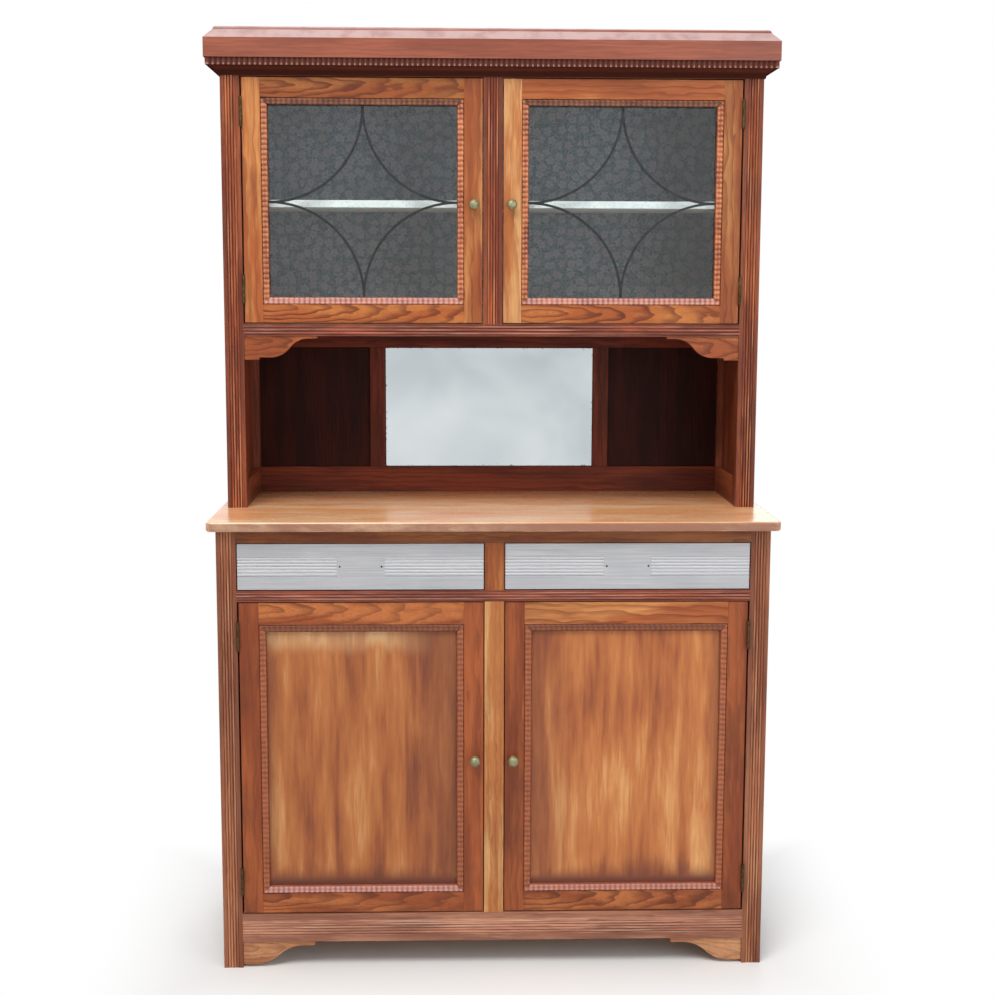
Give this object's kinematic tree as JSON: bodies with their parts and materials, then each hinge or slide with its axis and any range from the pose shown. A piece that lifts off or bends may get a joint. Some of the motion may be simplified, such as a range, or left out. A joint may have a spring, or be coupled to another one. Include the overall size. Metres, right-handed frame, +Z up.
{
  "type": "kitchen dresser",
  "caption": "Kitchen dresser: base with drawers and panelled doors, worktop, mirrored recess, and a glazed hutch with leaded star doors under a moulded cornice.",
  "frame": {"origin": "on the floor, in the middle of the dresser's plan", "axes": "+X to the viewer's right, +Y from the front to the back, +Z up"},
  "size_m": [1.182, 0.5, 1.94],
  "materials": {
    "case_wood": "dark red-brown stained wood, worn on the ridges",
    "worktop_pine": "bare sanded boards, matte",
    "pale_wood": "pale bare wood",
    "upper_door_wood": "orange-brown varnished wood",
    "lower_door_wood": "brown varnished wood",
    "panel_veneer": "mottled veneer with darkened edges",
    "ripple_wood": "stained ripple moulding",
    "dark_panel": "dark stained panel",
    "papered_board": "board lined with a floral paper",
    "shelf_board": "painted white",
    "inner_board": "plain softwood",
    "drawer_board": "plain softwood",
    "drawer_paint": "light grey brushed paint",
    "door_glass": "bevelled clear glass",
    "mirror_glass": "silvered plate",
    "lead_came": "dark lead",
    "knob_brass": "patinated brass",
    "hinge_brass": "dull brass"
  },
  "bodies": {
    "carcass": {"worktop": "worktop_pine", "base_front_posts": "case_wood", "base_rear_posts": "case_wood", "base_case_rails": "case_wood", "base_side_panels": "case_wood", "frieze_rail": "case_wood", "mid_rail": "case_wood", "base_muntins": "pale_wood", "bottom_rail": "case_wood", "base_floor": "inner_board", "base_shelf": "inner_board", "base_back_boards": "inner_board", "drawer_runners": "inner_board", "hutch_front_posts": "case_wood", "hutch_rear_posts": "case_wood", "hutch_side_rails": "case_wood", "hutch_side_panels": "case_wood", "hutch_muntin": "case_wood", "hutch_bottom_rail": "case_wood", "hutch_top_rail": "case_wood", "hutch_floor": "inner_board", "hutch_shelf": "shelf_board", "shelf_bearers": "inner_board", "hutch_back_panel": "papered_board", "hutch_top_board": "inner_board", "recess_back_frame": "case_wood", "recess_back_panels": "dark_panel", "mirror": "mirror_glass", "hutch_brackets": "case_wood", "foot_brackets": "case_wood", "cornice": "case_wood", "cornice_ripple": "ripple_wood", "hinge_frame_leaves": "hinge_brass", "door_stops": "inner_board"},
    "upper_left_door": {"upper_left_door_frame": "upper_door_wood", "upper_left_door_ripple": "ripple_wood", "upper_left_door_glass": "door_glass", "upper_left_door_came": "lead_came", "upper_left_door_knob": "knob_brass", "upper_left_door_hinge_leaves": "hinge_brass"},
    "upper_right_door": {"upper_right_door_frame": "upper_door_wood", "upper_right_door_ripple": "ripple_wood", "upper_right_door_glass": "door_glass", "upper_right_door_came": "lead_came", "upper_right_door_knob": "knob_brass", "upper_right_door_hinge_leaves": "hinge_brass"},
    "lower_left_door": {"lower_left_door_frame": "lower_door_wood", "lower_left_door_ripple": "ripple_wood", "lower_left_door_panel": "panel_veneer", "lower_left_door_knob": "knob_brass", "lower_left_door_hinge_leaves": "hinge_brass"},
    "lower_right_door": {"lower_right_door_frame": "lower_door_wood", "lower_right_door_ripple": "ripple_wood", "lower_right_door_panel": "panel_veneer", "lower_right_door_knob": "knob_brass", "lower_right_door_hinge_leaves": "hinge_brass"},
    "left_drawer": {"left_drawer_front": "drawer_paint", "left_drawer_box": "drawer_board"},
    "right_drawer": {"right_drawer_front": "drawer_paint", "right_drawer_box": "drawer_board"}
  },
  "joints": [
    {"name": "upper_left_door_swing", "type": "hinge", "parent": "carcass", "child": "upper_left_door", "pos_m": [-0.5204, -0.0432, 1.589], "axis": [0, 0, -1], "range_deg": [0, 170]},
    {"name": "upper_right_door_swing", "type": "hinge", "parent": "carcass", "child": "upper_right_door", "pos_m": [0.5204, -0.0432, 1.589], "axis": [0, 0, 1], "range_deg": [0, 170]},
    {"name": "lower_left_door_swing", "type": "hinge", "parent": "carcass", "child": "lower_left_door", "pos_m": [-0.5214, -0.2282, 0.448], "axis": [0, 0, -1], "range_deg": [0, 170]},
    {"name": "lower_right_door_swing", "type": "hinge", "parent": "carcass", "child": "lower_right_door", "pos_m": [0.5214, -0.2282, 0.448], "axis": [0, 0, 1], "range_deg": [0, 170]},
    {"name": "left_drawer_slide", "type": "slide", "parent": "carcass", "child": "left_drawer", "axis": [0, -1, 0], "range_m": [0, 0.32]},
    {"name": "right_drawer_slide", "type": "slide", "parent": "carcass", "child": "right_drawer", "axis": [0, -1, 0], "range_m": [0, 0.32]}
  ]
}
